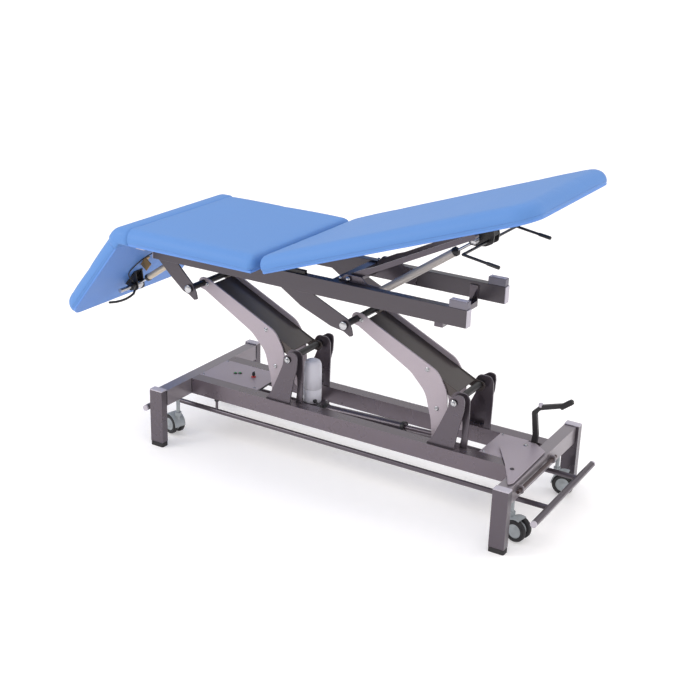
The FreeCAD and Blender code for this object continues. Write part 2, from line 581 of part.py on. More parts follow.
barrel = rod("spring_radius", 354, on_spring(22), tuple(spring_dir))
foot_eye = rod("eye_radius", 24, (LONG_ANCHOR.x, -12, LONG_ANCHOR.z))
tail = rod(7, 30, on_spring(0), tuple(spring_dir))
node(cut(fuse(barrel, foot_eye, tail), rod("spring_bore", 240, on_spring(140), tuple(spring_dir))),
     "long_spring_cylinder")
piston = rod("spring_rod", spring_len - 240, on_spring(240), tuple(spring_dir))
head_eye = rod("eye_radius", 28, (SPRING_TOP.x, -14, SPRING_TOP.z))
top_pin = rod(SPRING_PIN, 50, (SPRING_TOP.x, -25, SPRING_TOP.z))
node(fuse(piston, head_eye, top_pin), "long_spring_rod")

# release lever of the long section, a rod bent to a U
LEVER_HALF = 200
tip = LONG.inverse().multVec(V(570, 0, 890))
bar_rod = rod(LEVER_R, 2 * LEVER_HALF, (RELEASE.x, -LEVER_HALF, RELEASE.z))
arms = [rod_between(LEVER_R, (RELEASE.x, y, RELEASE.z), (tip.x, y, tip.z)) for y in (-LEVER_HALF, LEVER_HALF)]
elbows = []
for y in (-LEVER_HALF, LEVER_HALF):
    ball = doc.addObject("Part::Sphere", helper_name("bend"))
    ball.Radius = LEVER_R
    ball.Placement = FreeCAD.Placement(V(RELEASE.x, y, RELEASE.z), FreeCAD.Rotation())
    elbows.append(ball)
node(placed(fuse(bar_rod, *arms, *elbows), LONG), "release_lever")

# support struts: pivot on the frame brackets, rollers under the section bars
local_pivot = LONG.inverse().multVec(STRUT_PIVOT)
roller_r = size("roller_radius")
roller_n = bar_z - roller_r - size("roller_gap")
reach = math.sqrt(size("strut_length") ** 2 - (roller_n - local_pivot.z) ** 2)
roller = LONG.multVec(V(local_pivot.x + reach, 0, roller_n))
strut_dir = V(roller.x - STRUT_PIVOT.x, 0, roller.z - STRUT_PIVOT.z).normalize()
strut_up = V(-strut_dir.z, 0, strut_dir.x)


def on_strut(s, p):
    spot = strut_dir * s + strut_up * p
    return spot.x, spot.z


L = size("strut_length")
STRUT = [on_strut(*q[:2]) + tuple(q[2:]) for q in
         ((-14, -13, 12), (-20, 12, 10), (56, 13, 40), (90, 9, 60), (L + 9, 9, 8), (L + 9, -9, 8), (60, -9, 60))]
struts = plate_pair(STRUT, 106, "strut_thick", (), STRUT_PIVOT)
PIN_IN, PIN_OUT = 106, 137
stub_pins = [rod(STRUT_PIN, PIN_OUT - PIN_IN, (STRUT_PIVOT.x, y, STRUT_PIVOT.z)) for y in (PIN_IN, -PIN_OUT)]
wheel_pins = [rod("roller_radius", 22, (roller.x, y, roller.z)) for y in (88, -110)]
node(group(*[fuse(*parts) for parts in zip(struts, wheel_pins, stub_pins)]), "support_struts")

# ---------------------------------------------------------------- head section
head_end = HEAD_START + size("head_length")
node(cushion(-head_end, -HEAD_START, 60, 26, foam_low, HEAD), "head_cushion")
node(board(-head_end + BOARD_INSET + 22, -14, board_low, HEAD), "head_board")
HUB = V(-972, -50, 497)
hub = HEAD.inverse().multVec(HUB)
HUB_R, SHAFT_R = 17, 8
HUB_LUG = [(hub.x - 26, 3), (hub.x + 50, 3), (hub.x + 19, hub.z - 6, 12), (hub.x + 4, hub.z - 21, 14),
           (hub.x - 17, hub.z - 17, 14)]
hub_bore = [(hub.x, hub.z, SHAFT_R + PIN_CLEAR)]
hub_lugs = [plate(HUB_LUG, HUB.y + y, 5, hub_bore) for y in (-20, 15)]
hub_plate = box(76, 48, 4, (hub.x - 26, HUB.y - 24, board_low - 4))
hub_bracket = placed(fuse(hub_plate, *hub_lugs), HEAD)
node(group(section_frame(96, -1, [], HEAD), hub_bracket), "head_frame")
axis = HUB - HEAD_ANCHOR
head_len = axis.Length
head_dir = V(axis.x, 0, axis.z).normalize()


def on_head(s):
    return tuple(HEAD_ANCHOR + head_dir * s)


barrel = rod("head_spring_radius", 162, on_head(20), tuple(head_dir))
tail_eye = rod("eye_radius", 24, (HEAD_ANCHOR.x, HEAD_ANCHOR.y - 12, HEAD_ANCHOR.z))
tail = rod(6, 26, on_head(0), tuple(head_dir))
node(cut(fuse(barrel, tail_eye, tail), rod("spring_bore", 160, on_head(30), tuple(head_dir))),
     "head_spring_cylinder")
piston = rod("spring_rod", 190, on_head(head_len - 190), tuple(head_dir))
drum = rod(HUB_R, 28, (HUB.x, HUB.y - 14, HUB.z))
shaft = rod(SHAFT_R, 122, (HUB.x, -150, HUB.z))
node(fuse(piston, drum, shaft), "head_spring_rod")
GRIP = [(-960, -81, 482), (-953, -96, 475), (-948, -122, 472), (-944, -150, 471), (-941, -180, 473),
        (-939, -210, 477), (-938, -246, 485)]
GRIP_R = 4.5
knuckle = rod(HUB_R - 2, 18, (HUB.x, -90, HUB.z))
lever_rods = [rod_between(GRIP_R, a, b) for a, b in zip(GRIP, GRIP[1:])]
bends = []
for spot in GRIP[1:]:
    ball = doc.addObject("Part::Sphere", helper_name("bend"))
    ball.Radius = GRIP_R
    ball.Placement = FreeCAD.Placement(V(*spot), FreeCAD.Rotation())
    bends.append(ball)
knuckle_bore = rod(SHAFT_R + PIN_CLEAR, 20, (HUB.x, -91, HUB.z))
node(cut(fuse(knuckle, *lever_rods, *bends), knuckle_bore), "head_release_lever")

# ---------------------------------------------------------------- check and export
for part in parts:
    placed(part, FreeCAD.Placement(V(size("origin_shift"), 0, 0), FreeCAD.Rotation()))
doc.recompute()
for obj in doc.Objects:
    for state in obj.State:
        if state in ("Invalid", "Error"):
            raise ValueError("%s is %s" % (obj.Label, state))
os.makedirs("parts", exist_ok=True)
for part in parts:
    shape = part.Shape
    if shape.isNull() or not shape.isValid() or shape.Volume <= 0:
        raise ValueError("bad shape: " + part.Label)
    shape.exportStep("parts/%s.step" % part.Label)
print("%d nodes" % len(parts))
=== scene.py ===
import bpy
import bmesh
import json
import math
import random
from mathutils import Matrix, Vector
from mathutils.bvhtree import BVHTree


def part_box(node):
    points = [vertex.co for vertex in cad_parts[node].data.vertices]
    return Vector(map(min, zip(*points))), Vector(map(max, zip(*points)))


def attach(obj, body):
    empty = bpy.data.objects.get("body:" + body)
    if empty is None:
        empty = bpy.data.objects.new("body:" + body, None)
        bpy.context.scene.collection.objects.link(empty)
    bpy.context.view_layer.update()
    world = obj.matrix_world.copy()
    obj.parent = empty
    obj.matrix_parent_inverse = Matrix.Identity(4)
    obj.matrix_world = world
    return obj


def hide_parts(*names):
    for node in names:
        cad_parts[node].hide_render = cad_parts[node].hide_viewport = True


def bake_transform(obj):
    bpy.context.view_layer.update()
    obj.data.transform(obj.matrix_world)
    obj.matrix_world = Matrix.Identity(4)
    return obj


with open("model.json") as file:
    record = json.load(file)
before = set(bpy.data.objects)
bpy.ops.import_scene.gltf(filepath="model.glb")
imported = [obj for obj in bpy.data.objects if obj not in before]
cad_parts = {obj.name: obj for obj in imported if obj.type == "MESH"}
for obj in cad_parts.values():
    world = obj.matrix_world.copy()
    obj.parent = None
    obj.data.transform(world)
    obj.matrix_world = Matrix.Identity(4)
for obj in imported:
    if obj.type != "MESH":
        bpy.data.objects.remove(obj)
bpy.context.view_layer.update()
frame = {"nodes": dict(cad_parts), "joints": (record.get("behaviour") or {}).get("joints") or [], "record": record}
random.seed(11)
scene = bpy.context.scene
PIVOT = {j["name"]: Vector(j["pos_m"]) for j in frame["record"]["behaviour"]["joints"] if "pos_m" in j}
SHIFT = PIVOT["lift_left_arm"].x + 0.234


def at(x, y, z):
    """A point given in mm about the middle of the base, as metres in the part's frame."""
    return Vector((x / 1000 + SHIFT, y / 1000, z / 1000))


def tilted(pivot, degrees):
    return Matrix.Translation(pivot) @ Matrix.Rotation(math.radians(-degrees), 4, "Y")


LONG = tilted(Vector((PIVOT["long_section_tilt"].x, 0, PIVOT["long_section_tilt"].z)), 19.5)
HEAD = tilted(Vector((PIVOT["head_section_tilt"].x, 0, PIVOT["head_section_tilt"].z)), 52)
FLAT = Matrix.Identity(4)
HINGE_Z = PIVOT["long_section_tilt"].z
HEAD_DROP = 52
LEAST_R = 0.001
TOP_ROUND, LOW_ROUND, LOW_TUCK, WELT_HEIGHT = 0.035, 0.016, 0.0085, 0.013


# ------------------------------------------------------------------ materials
def material(name, colour, rough=0.45, metal=0.0, vary=0.12, vary_scale=7.0, grain=260.0, bump=0.05,
             stretch=(1, 1, 1), rough_vary=0.12, coat=0.0, edge_highlight=0.0, cells=0.0, shine=0.5):
    """Procedural finish: blotchy tone, fine grain bump, roughness variation, and edges painted lighter as a painted
    highlight.
    """
    m = bpy.data.materials.new(name)
    m.use_nodes = True
    nodes, links = m.node_tree.nodes, m.node_tree.links
    shader = nodes["Principled BSDF"]

    def add(kind, **inputs):
        node = nodes.new(kind)
        for key, value in inputs.items():
            node.inputs[key.replace("_", " ")].default_value = value
        return node

    coord = nodes.new("ShaderNodeTexCoord")
    mapping = add("ShaderNodeMapping", Scale=stretch)
    links.new(coord.outputs["Object"], mapping.inputs["Vector"])
    broad = add("ShaderNodeTexNoise", Scale=vary_scale, Detail=4.0, Roughness=0.6)
    fine = add("ShaderNodeTexNoise", Scale=grain, Detail=5.0, Roughness=0.65)
    for node in (broad, fine):
        links.new(mapping.outputs["Vector"], node.inputs["Vector"])
    dark = tuple(c * (1 - vary) for c in colour) + (1,)
    light = tuple(min(1, c * (1 + vary)) for c in colour) + (1,)
    tone = nodes.new("ShaderNodeMix")
    tone.data_type = "RGBA"
    tone.inputs[6].default_value = dark
    tone.inputs[7].default_value = light
    links.new(broad.outputs["Fac"], tone.inputs[0])
    speck = nodes.new("ShaderNodeMix")
    speck.data_type = "RGBA"
    speck.blend_type = "MULTIPLY"
    speck.inputs[0].default_value = 0.25
    links.new(tone.outputs[2], speck.inputs[6])
    links.new(fine.outputs["Fac"], speck.inputs[7])
    out = speck.outputs[2]
    # painted highlight: where the bevelled normal turns away from the true normal, the edge colour is lightened
    if edge_highlight:
        edge = add("ShaderNodeBevel", Radius=0.0025)
        edge.samples = 4
        geo = nodes.new("ShaderNodeNewGeometry")
        dot = nodes.new("ShaderNodeVectorMath")
        dot.operation = "DOT_PRODUCT"
        links.new(edge.outputs["Normal"], dot.inputs[0])
        links.new(geo.outputs["Normal"], dot.inputs[1])
        ramp = nodes.new("ShaderNodeMapRange")
        ramp.inputs["From Min"].default_value = 0.985
        ramp.inputs["From Max"].default_value = 0.80
        ramp.inputs["To Max"].default_value = edge_highlight
        links.new(dot.outputs["Value"], ramp.inputs["Value"])
        highlight_mix = nodes.new("ShaderNodeMix")
        highlight_mix.data_type = "RGBA"
        highlight_mix.inputs[7].default_value = tuple(min(1, c * 1.6 + 0.05) for c in colour) + (1,)
        links.new(ramp.outputs["Result"], highlight_mix.inputs[0])
        links.new(out, highlight_mix.inputs[6])
        out = highlight_mix.outputs[2]
    links.new(out, shader.inputs["Base Color"])
    gloss = nodes.new("ShaderNodeMapRange")
    gloss.inputs["To Min"].default_value = max(0.02, rough - rough_vary)
    gloss.inputs["To Max"].default_value = min(1, rough + rough_vary)
    links.new(broad.outputs["Fac"], gloss.inputs["Value"])
    links.new(gloss.outputs["Result"], shader.inputs["Roughness"])
    height = fine.outputs["Fac"]
    if cells:
        pebble = add("ShaderNodeTexVoronoi", Scale=cells)
        pebble.feature = "SMOOTH_F1"
        links.new(mapping.outputs["Vector"], pebble.inputs["Vector"])
        both = nodes.new("ShaderNodeMath")
        both.operation = "ADD"
        links.new(pebble.outputs["Distance"], both.inputs[0])
        links.new(fine.outputs["Fac"], both.inputs[1])
        height = both.outputs["Value"]
    relief = add("ShaderNodeBump", Strength=bump, Distance=0.001)
    links.new(height, relief.inputs["Height"])
    links.new(relief.outputs["Normal"], shader.inputs["Normal"])
    shader.inputs["Metallic"].default_value = metal
    shader.inputs["Coat Weight"].default_value = coat
    shader.inputs["Coat Roughness"].default_value = 0.25
    shader.inputs["Specular IOR Level"].default_value = shine
    return m


def srgb(r, g, b):
    return tuple(((c / 255 + 0.055) / 1.055) ** 2.4 if c > 10 else c / 255 / 12.92 for c in (r, g, b))


MATS = {
    "frame_paint": material("frame_paint", srgb(94, 86, 94), 0.30, 0.6, 0.07, 5, 900, 0.06, edge_highlight=0.35, coat=0.35),
    "rail_paint": material("rail_paint", srgb(112, 102, 110), 0.28, 0.6, 0.06, 5, 900, 0.05, edge_highlight=0.3, coat=0.4),
    # cross_paint: the frame's lilac-grey paint made lighter on the crossbars, a painted highlight for the reflection on
    # their tops
    "cross_paint": material("cross_paint", srgb(146, 138, 144), 0.32, 0.5, 0.06, 5, 900, 0.05, edge_highlight=0.3, coat=0.3),
    "upper_paint": material("upper_paint", srgb(80, 74, 80), 0.32, 0.6, 0.07, 5, 900, 0.06, edge_highlight=0.35, coat=0.35),
    "arm_paint": material("arm_paint", srgb(78, 70, 68), 0.34, 0.55, 0.08, 5, 900, 0.06, edge_highlight=0.35, coat=0.35),
    "black_steel": material("black_steel", srgb(40, 38, 40), 0.38, 0.4, 0.15, 9, 700, 0.05, edge_highlight=0.3, coat=0.2),
    "cover_paint": material("cover_paint", srgb(176, 165, 174), 0.42, 0.35, 0.06, 5, 900, 0.05, edge_highlight=0.3),
    "bright_steel": material("bright_steel", srgb(205, 205, 208), 0.24, 1.0, 0.06, 12, 400, 0.03, stretch=(1, 8, 1)),
    "spring_tube": material("spring_tube", srgb(205, 198, 192), 0.4, 0.25, 0.05, 8, 500, 0.03, coat=0.2),
    "head_tube": material("head_tube", srgb(214, 200, 178), 0.35, 0.45, 0.08, 8, 500, 0.03),
    "light_cap": material("light_cap", srgb(196, 190, 200), 0.42, 0.1, 0.05, 8, 500, 0.04),
    "pad_rubber": material("pad_rubber", srgb(44, 42, 44), 0.75, 0.0, 0.2, 20, 500, 0.25),
    "stop_rubber": material("stop_rubber", srgb(122, 118, 128), 0.6, 0.0, 0.1, 14, 500, 0.15),
    "green_lens": material("green_lens", srgb(30, 150, 70), 0.12, 0.0, 0.05, 20, 300, 0.01, coat=1.0),
    "red_plastic": material("red_plastic", srgb(190, 30, 35), 0.25, 0.0, 0.08, 20, 300, 0.02, coat=0.5),
    "black_plastic": material("black_plastic", srgb(36, 35, 37), 0.42, 0.0, 0.15, 16, 800, 0.10),
    "motor_plastic": material("motor_plastic", srgb(221, 220, 230), 0.4, 0.0, 0.05, 8, 700, 0.08),
    "blue_vinyl": material("blue_vinyl", srgb(98, 145, 210), 0.5, 0.0, 0.03, 3, 1500, 0.10, cells=1100,
                           rough_vary=0.05, shine=0.25),
    # under_vinyl: the same blue vinyl as blue_vinyl, made lighter as painted light on the shaded undersides of the
    # sections
    "under_vinyl": material("under_vinyl", srgb(100, 148, 222), 0.55, 0.0, 0.05, 5, 1400, 0.12, cells=900),
    "caster_grey": material("caster_grey", srgb(168, 174, 178), 0.38, 0.1, 0.05, 15, 600, 0.05),
    "tyre_black": material("tyre_black", srgb(34, 33, 36), 0.62, 0.0, 0.2, 25, 600, 0.2),
    "zinc_yellow": material("zinc_yellow", srgb(178, 142, 92), 0.4, 0.7, 0.15, 20, 500, 0.05),
    "welt": material("welt", srgb(90, 136, 200), 0.5, 0.0, 0.06, 12, 1500, 0.15),
    "lever_paint": material("lever_paint", srgb(182, 171, 179), 0.42, 0.3, 0.06, 5, 900, 0.05, edge_highlight=0.3),
    "dark_shaft": material("dark_shaft", srgb(80, 66, 66), 0.45, 0.3, 0.1, 12, 600, 0.05),
    "weld_bead": material("weld_bead", srgb(70, 65, 70), 0.5, 0.6, 0.2, 60, 500, 0.5),
}
LOOK = {slot["node"]: slot["material_slot"] for slot in frame["record"]["subparts"]}
# the boards take under_vinyl, the vinyl colour lightened as painted light for their shaded undersides
LOOK.update({"centre_board": "under_vinyl", "long_board": "under_vinyl", "head_board": "under_vinyl",
             "head_spring_cylinder": "head_tube", "left_arm_levers": "lever_paint", "right_arm_levers": "lever_paint",
             "caster_torque_shaft": "dark_shaft", "base_rails": "rail_paint", "crossbars": "cross_paint",
             "upper_rail_near": "upper_paint", "upper_rail_far": "upper_paint", "upper_hangers": "upper_paint",
             "actuator_rod": "rail_paint"})
EDGE, EDGE_ANGLE = 0.0012, math.radians(35)


def soften(obj, width=EDGE, segments=2):
    """Rounds the hard edges at render time without touching the mesh."""
    weld = obj.modifiers.new("weld", "WELD")
    weld.merge_threshold = 1e-5
    bevel = obj.modifiers.new("edge", "BEVEL")
    bevel.width = width
    bevel.segments = segments
    bevel.limit_method = "ANGLE"
    bevel.angle_limit = EDGE_ANGLE
    bevel.use_clamp_overlap = True
    shade = obj.modifiers.new("shade", "WEIGHTED_NORMAL")
    shade.keep_sharp = False
    shade.weight = 100
    for face in obj.data.polygons:
        face.use_smooth = True


for node_name, cad in frame["nodes"].items():
    cad.data.materials.clear()
    cad.data.materials.append(MATS[LOOK[node_name]])
    soften(cad)


# ------------------------------------------------------------------ piece builders
def piece(name, bm, look, body, smooth=True, edge=0.0):
    mesh = bpy.data.meshes.new(name)
    bm.normal_update()
    bm.to_mesh(mesh)
    bm.free()
    obj = bpy.data.objects.new(name, mesh)
    scene.collection.objects.link(obj)
    mesh.materials.append(MATS[look])
    for face in mesh.polygons:
        face.use_smooth = smooth
    if edge:
        soften(obj, edge, 3)
    if body:
        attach(obj, body)
    return obj


def frame_of(axis):
    return Vector(axis).normalized().to_track_quat("Z", "Y").to_matrix().to_4x4()


def add_lathe(bm, profile, centre, axis=(0, 0, 1), steps=40, sweep=2 * math.pi, start=0.0):
    """Turns (radius, height) points round the axis through centre."""
    place = Matrix.Translation(centre) @ frame_of(axis)
    full = abs(sweep - 2 * math.pi) < 1e-6
    rings = []
    for k in range(steps if full else steps + 1):
        a = start + sweep * k / steps
        rings.append([bm.verts.new(place @ Vector((r * math.cos(a), r * math.sin(a), h))) for r, h in profile])
    pairs = list(zip(rings, rings[1:] + rings[:1])) if full else list(zip(rings, rings[1:]))
    for one, two in pairs:
        for i in range(len(profile) - 1):
            bm.faces.new((one[i], two[i], two[i + 1], one[i + 1]))
    bmesh.ops.remove_doubles(bm, verts=[v for ring in rings for v in ring], dist=1e-6)


def add_tube(bm, points, radius, sides=14, capped=True):
    """A round tube along a smooth path through the points."""
    path = [Vector(p) for p in points]
    rings = []
    normal = None
    for i, spot in enumerate(path):
        ahead = (path[min(i + 1, len(path) - 1)] - path[max(i - 1, 0)]).normalized()
        if normal is None:
            normal = ahead.orthogonal().normalized()
        normal = (normal - ahead * normal.dot(ahead)).normalized()
        across = ahead.cross(normal)
        rings.append([bm.verts.new(spot + (normal * math.cos(a) + across * math.sin(a)) * radius)
                      for a in (2 * math.pi * k / sides for k in range(sides))])
    for one, two in zip(rings, rings[1:]):
        for k in range(sides):
            bm.faces.new((one[k], one[(k + 1) % sides], two[(k + 1) % sides], two[k]))
    if capped:
        bm.faces.new(list(reversed(rings[0])))
        bm.faces.new(rings[-1])


def smooth_path(points, steps=8):
    """Catmull-Rom points through the given ones."""
    pts = [Vector(p) for p in points]
    pts = [pts[0] * 2 - pts[1]] + pts + [pts[-1] * 2 - pts[-2]]
    out = []
    for a, b, c, d in zip(pts, pts[1:], pts[2:], pts[3:]):
        for k in range(steps):
            t = k / steps
            out.append(0.5 * (2 * b + (c - a) * t + (2 * a - 5 * b + 4 * c - d) * t * t
                              + (3 * b - a - 3 * c + d) * t ** 3))
    return out + [pts[-2]]


def add_box(bm, low, high, place=FLAT):
    corners = [place @ Vector((x, y, z)) for x in (low[0], high[0]) for y in (low[1], high[1])
               for z in (low[2], high[2])]
    v = [bm.verts.new(c) for c in corners]
    for f in ((0, 1, 3, 2), (4, 6, 7, 5), (0, 4, 5, 1), (2, 3, 7, 6), (0, 2, 6, 4), (1, 5, 7, 3)):
        bm.faces.new([v[i] for i in f])


def add_bolt(bm, centre, axis, radius, head, kind="dome"):
    """Washer with a domed, hexagonal or socket head on it; centre lies on the surface."""
    washer = [(0, 0), (radius * 1.45, 0), (radius * 1.5, 0.0004), (radius * 1.45, 0.0014), (0, 0.0014)]
    add_lathe(bm, washer, centre, axis, 28)
    base = 0.0014
    if kind == "dome":
        dome = [(radius, base)] + [(radius * math.cos(a), base + head * (0.35 + 0.65 * math.sin(a)))
                                   for a in (math.pi / 2 * k / 6 for k in range(7))]
        add_lathe(bm, dome, centre, axis, 28)
    elif kind == "hex":
        add_lathe(bm, [(radius, base), (radius, base + head * 0.85), (radius * 0.86, base + head), (0, base + head)],
                  centre, axis, 6)
    else:
        add_lathe(bm, [(radius, base), (radius, base + head - 0.0005), (radius * 0.94, base + head),
                       (radius * 0.55, base + head), (radius * 0.5, base + head * 0.35), (0, base + head * 0.35)],
                  centre, axis, 28)


# ------------------------------------------------------------------ cushions
def outline(x0, x1, half, r_left, r_right, inset, squeeze=(1.0, 1.0)):
    """Rounded rectangle pulled in by inset; squeeze scales that pull at the x0 and x1 ends."""
    pts = []
    spec = [(x1, -half, r_right, -90, squeeze[1]), (x1, half, r_right, 0, squeeze[1]),
            (x0, half, r_left, 90, squeeze[0]), (x0, -half, r_left, 180, squeeze[0])]
    for x, y, r, start, share in spec:
        rx, ry = max(LEAST_R, r - inset * share), max(LEAST_R, r - inset)
        cx = x - math.copysign(inset * share + rx, x - (x0 + x1) / 2)
        cy = y - math.copysign(inset + ry, y)
        for k in range(13):
            a = math.radians(start + 90 * k / 12)
            pts.append(Vector((cx + rx * math.cos(a), cy + ry * math.sin(a), 0)))
    return pts


def edge_profile(thick):
    """(inset, height) points up the side of a cushion, tucked under at the foot and rounded at the top."""
    points = []
    for k in range(7):
        a = math.pi / 2 * k / 6
        points.append((LOW_TUCK * (1 - math.sin(a)), LOW_ROUND * (1 - math.cos(a))))
    for k in range(9):
        a = math.pi / 2 * k / 8
        points.append((TOP_ROUND * (1 - math.cos(a)), thick - TOP_ROUND + TOP_ROUND * math.sin(a)))
    return points


def loft_cushion(name, x0, x1, half, r_left, r_right, thick, squeeze):
    bm = bmesh.new()
    rings = []
    for inset, z in edge_profile(thick):
        ends = squeeze if z > thick / 2 else (1.0, 1.0)
        rings.append([bm.verts.new(p + Vector((0, 0, z)))
                      for p in outline(x0, x1, half, r_left, r_right, inset, ends)])
    count = len(rings[0])
    for one, two in zip(rings, rings[1:]):
        for k in range(count):
            bm.faces.new((one[k], one[(k + 1) % count], two[(k + 1) % count], two[k]))
    bm.faces.new(list(reversed(rings[0])))
    bm.faces.new(rings[-1])
    mesh = bpy.data.meshes.new(name)
    bm.to_mesh(mesh)
    bm.free()
    obj = bpy.data.objects.new(name, mesh)
    scene.collection.objects.link(obj)
    return obj


def bake(obj):
    bpy.context.view_layer.update()
    dg = bpy.context.evaluated_depsgraph_get()
    mesh = bpy.data.meshes.new_from_object(obj.evaluated_get(dg))
    old = obj.data
    obj.modifiers.clear()
    obj.data = mesh
    bpy.data.meshes.remove(old)


def padded_cushion(name, node_name, place, x0, x1, half, r_left, r_right, thick, squeeze, body, crown):
    """Foam-filled cover: lofted, remeshed, puffed by a short cloth run, then set on its board."""
    slack = 0.0015
    obj = loft_cushion(name, x0 + slack, x1 - slack, half - slack, r_left, r_right, thick - slack, squeeze)
    voxel = obj.modifiers.new("voxel", "REMESH")
    voxel.mode = "VOXEL"
    voxel.voxel_size = 0.0075
    relax = obj.modifiers.new("relax", "SMOOTH")
    relax.factor, relax.iterations = 0.5, 4
    bake(obj)
    start = [v.co.copy() for v in obj.data.vertices]
    cloth = obj.modifiers.new("cloth", "CLOTH")
    cfg = cloth.settings
    cfg.quality = 5
    cfg.mass = 0.35
    cfg.tension_stiffness = cfg.compression_stiffness = 22
    cfg.shear_stiffness = 8
    cfg.bending_stiffness = 1.2
    cfg.use_pressure = True
    cfg.uniform_pressure_force = 3.2
    cfg.effector_weights.gravity = 0
    cloth.point_cache.frame_start, cloth.point_cache.frame_end = 1, 20
    for f in range(1, 21):
        scene.frame_set(f)
    bake(obj)
    scene.frame_set(1)
    mid_x, span_x = (x0 + x1) / 2, (x1 - x0) / 2
    most = 0.0035
    for v, was in zip(obj.data.vertices, start):
        move = v.co - was
        if move.length > most:
            move *= most / move.length
        spot = was + move
        lift = crown * max(0, 1 - abs((was.x - mid_x) / span_x) ** 6) * max(0, 1 - abs(was.y / half) ** 6)
        share = max(0.0, min(1.0, (was.z - thick * 0.55) / (thick * 0.45)))
        spot.z += lift * share
        spot.x = max(x0 - 0.001, min(x1 + 0.001, spot.x))
        spot.y = max(-half - 0.001, min(half + 0.001, spot.y))
        spot.z = max(0.0, spot.z)
        v.co = spot
    divide = obj.modifiers.new("divide", "SUBSURF")
    divide.levels = divide.render_levels = 1
    bake(obj)
    tree = BVHTree.FromPolygons([v.co for v in obj.data.vertices], [tuple(p.vertices) for p in obj.data.polygons])
    obj.data.transform(place)
    obj.data.materials.append(MATS["blue_vinyl"])
    for face in obj.data.polygons:
        face.use_smooth = True
    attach(obj, body)
    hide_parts(node_name)
    # welt where the side panel meets the underside
    loop = []
    for p in outline(x0, x1, half, r_left, r_right, 0.0):
        hit = tree.find_nearest(p + Vector((0, 0, WELT_HEIGHT)))[0]
        loop.append(place @ hit)
    dense = []
    for a, b in zip(loop, loop[1:] + loop[:1]):
        steps = max(1, int((b - a).length / 0.02))
        dense += [a.lerp(b, k / steps) for k in range(steps)]
    bm = bmesh.new()
    add_tube(bm, dense + dense[:1], 0.0009, 8, False)
    piece(name + "_welt", bm, "welt", body)
    return obj


def local_box(node_name, place):
    inv = place.inverted()
    pts = [inv @ v.co for v in frame["nodes"][node_name].data.vertices]
    return (Vector([min(p[i] for p in pts) for i in range(3)]), Vector([max(p[i] for p in pts) for i in range(3)]))


HEM = 0.0068
for name, node_name, place, r_left, r_right, squeeze, body, crown in (
        ("centre_cushion_cover", "centre_cushion", FLAT, 0.0100, 0.020, (0.10, 0.35), "upper_frame", 0.002),
        ("long_cushion_cover", "long_cushion", LONG, 0.020, 0.082, (0.35, 1.1), "long_section", 0.003),
        ("head_cushion_cover", "head_cushion", HEAD, 0.062, 0.0100, (1.0, 0.10), "head_section", 0.002)):
    low, high = local_box(node_name, place)
    base = HEM + (HINGE_Z if place is FLAT else 0)
    shift = Matrix.Translation(Vector((0, 0, base)))
    padded_cushion(name, node_name, place @ shift, low.x, high.x, high.y, r_left, r_right, high.z - base, squeeze,
                   body, crown)

# upholstered boards with corners that follow the cushions above them
for name, node_name, cushion, place, r_left, r_right, body in (
        ("long_board_cover", "long_board", "long_cushion", LONG, 0.020, 0.082, "long_section"),
        ("head_board_cover", "head_board", "head_cushion", HEAD, 0.062, 0.010, "head_section")):
    low, high = local_box(cushion, place)
    panel_low, panel_high = local_box(node_name, place)
    panel = bmesh.new()
    rings = []
    for inset, z in ((0.012, panel_low.z), (0.0095, panel_low.z + 0.002), (0.0095, panel_high.z)):
        rings.append([panel.verts.new(place @ (p + Vector((0, 0, z))))
                      for p in outline(low.x, high.x, high.y, r_left, r_right, inset)])
    for one, two in zip(rings, rings[1:]):
        for k in range(len(one)):
            j = (k + 1) % len(one)
            panel.faces.new((one[k], one[j], two[j], two[k]))
    panel.faces.new(list(reversed(rings[0])))
    panel.faces.new(rings[-1])
    cover = piece(name, panel, "under_vinyl", body, smooth=False)
    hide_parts(node_name)

# vinyl bridging the head crease: the cushions' cross section swept round the head hinge
low, high = local_box("head_cushion", HEAD)
RISE, BURY = 0.0026, -0.004
SWEEP_STEPS = 14


def crease_section(grow):
    side = [(high.y - inset + min(0.0, grow), HEM + z) for inset, z in edge_profile(high.z - HEM + grow)]
    return side + [(-y, z) for y, z in reversed(side)]


bridge = bmesh.new()
rings = []
stations = [(0.036, 0.0, BURY), (0.023, 0.0, RISE)]
stations += [(0.0, HEAD_DROP * k / SWEEP_STEPS, RISE) for k in range(SWEEP_STEPS + 1)]
stations += [(-0.013, HEAD_DROP, RISE), (-0.026, HEAD_DROP, BURY)]
for step, angle, grow in stations:
    turned = tilted(Vector((PIVOT["head_section_tilt"].x, 0, HINGE_Z)), angle)
    rings.append([bridge.verts.new(turned @ Vector((step, y, z))) for y, z in crease_section(grow)])
for one, two in zip(rings, rings[1:]):
    for k in range(len(one)):
        j = (k + 1) % len(one)
        bridge.faces.new((one[k], one[j], two[j], two[k]))
bridge.faces.new(list(reversed(rings[0])))
bridge.faces.new(rings[-1])
bmesh.ops.recalc_face_normals(bridge, faces=bridge.faces)
crease = piece("head_crease_gusset", bridge, "blue_vinyl", None)
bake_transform(crease)

